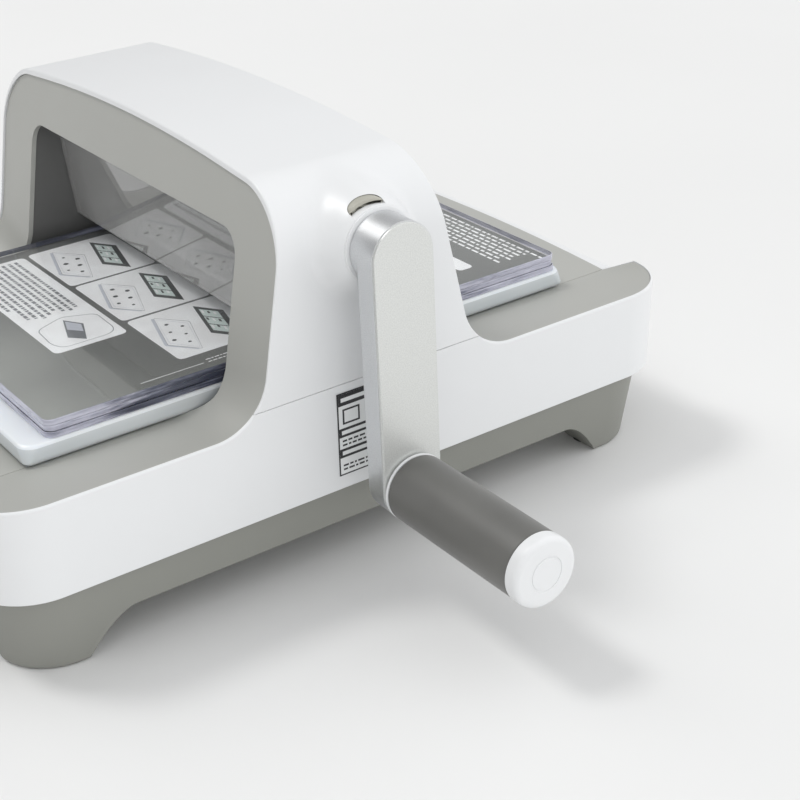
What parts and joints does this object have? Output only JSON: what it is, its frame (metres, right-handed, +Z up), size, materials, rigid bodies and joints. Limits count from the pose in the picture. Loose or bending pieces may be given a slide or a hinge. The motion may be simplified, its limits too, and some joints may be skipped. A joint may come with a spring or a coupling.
{
  "type": "die cutting machine",
  "caption": "Hand-cranked roller press for die cutting and embossing: a drafted tub with an arch over a feed passage, geared rollers, a sliding platform with clear plates, and a side crank.",
  "frame": {"origin": "on the table, at the centre of the four feet, straight below the crank axis' crossing with the body's middle plane", "axes": "+Z up, +X towards the crank side, +Y along the feed from the front mouth to the rear mouth"},
  "size_m": [0.4435, 0.4106, 0.2114],
  "materials": {
    "white_plastic": "satin white moulded plastic",
    "fascia_grey": "fine matt warm-grey moulded plastic",
    "base_grey": "fine matt grey moulded plastic",
    "liner_dark": "dark matt plastic",
    "guard_clear": "glossy smoked clear panel",
    "clear_plate": "clear polycarbonate with polished edges",
    "platform_white": "milky translucent plastic",
    "card": "printed coated card",
    "steel": "bright mild steel",
    "roller_steel": "ground steel",
    "gear_steel": "oiled machined steel",
    "bronze": "sintered bronze",
    "arm_silver": "satin silver lacquer on a die-cast alloy",
    "arm_face": "matt silver inlay",
    "grip_rubber": "soft-touch dark grey",
    "grip_core_plastic": "glass-filled nylon",
    "foot_rubber": "grey rubber",
    "button_grey": "warm grey plastic",
    "screw_zinc": "zinc plated",
    "label": "printed film with plain bars"
  },
  "bodies": {
    "machine": {"lower_shell": "white_plastic", "arch_cover": "white_plastic", "base_tray": "base_grey", "foot_pads": "foot_rubber", "base_screws": "screw_zinc", "front_fascia": "fascia_grey", "rear_fascia": "fascia_grey", "front_bed": "fascia_grey", "rear_bed": "fascia_grey", "front_guard": "guard_clear", "rear_guard": "guard_clear", "liner_left": "liner_dark", "liner_right": "liner_dark", "side_frame_left": "steel", "side_frame_right": "steel", "outer_plate": "steel", "frame_spacers": "screw_zinc", "tie_rods": "screw_zinc", "tie_nuts": "screw_zinc", "frame_screws": "screw_zinc", "upper_bush_left": "bronze", "upper_bush_right": "bronze", "lower_bush_left": "bronze", "lower_bush_right": "bronze", "crank_bush_inner": "bronze", "crank_bush_outer": "bronze", "crank_collar": "white_plastic", "label_plate": "label", "button_spring": "screw_zinc"},
    "crank": {"crank_shaft": "steel", "crank_pinion": "gear_steel", "crank_arm": "arm_silver", "arm_face": "arm_face", "hub_screw": "screw_zinc", "handle_spindle": "steel", "grip_ring": "white_plastic", "spindle_screw": "screw_zinc"},
    "grip": {"grip_core": "grip_core_plastic", "grip_sleeve": "grip_rubber", "grip_end_cap": "white_plastic"},
    "upper_roll": {"upper_roller": "roller_steel", "drive_gear": "gear_steel", "sync_gear_upper": "gear_steel", "upper_roller_clips": "screw_zinc"},
    "lower_roll": {"lower_roller": "roller_steel", "sync_gear_lower": "gear_steel", "lower_roller_clips": "screw_zinc"},
    "plates": {"platform": "platform_white", "pad_lower": "clear_plate", "pad_middle": "clear_plate", "print_card": "card", "pad_top": "clear_plate"},
    "button": {"release_button": "button_grey"}
  },
  "joints": [
    {"name": "crank_turn", "type": "hinge", "parent": "machine", "child": "crank", "pos_m": [0.169, 0, 0.1749], "axis": [1, 0, 0], "range_deg": [-1000, 1000]},
    {"name": "upper_roller_turn", "type": "hinge", "parent": "machine", "child": "upper_roll", "pos_m": [0, 0, 0.1284], "axis": [1, 0, 0], "range_deg": [-412, 412]},
    {"name": "lower_roller_turn", "type": "hinge", "parent": "machine", "child": "lower_roll", "pos_m": [0, 0, 0.0699], "axis": [1, 0, 0], "range_deg": [-412, 412]},
    {"name": "plates_feed", "type": "slide", "parent": "machine", "child": "plates", "axis": [0, 1, 0], "range_m": [-0.137, 0.137]},
    {"name": "grip_spin", "type": "hinge", "parent": "crank", "child": "grip", "pos_m": [0.235, -0.00083, 0.0566], "axis": [1, 0, 0], "continuous": true},
    {"name": "button_press", "type": "slide", "parent": "machine", "child": "button", "axis": [-1, 0, 0], "range_m": [0, 0.0025], "stiffness_N_per_m": 400, "springref_m": -0.003, "deforming": ["button_spring"]}
  ],
  "couplings": [
    {"joint": "upper_roller_turn", "follows": "crank_turn", "ratio": -0.40909},
    {"joint": "lower_roller_turn", "follows": "crank_turn", "ratio": 0.40909},
    {"joint": "plates_feed", "follows": "crank_turn", "m_per_rad": -0.0077727}
  ]
}
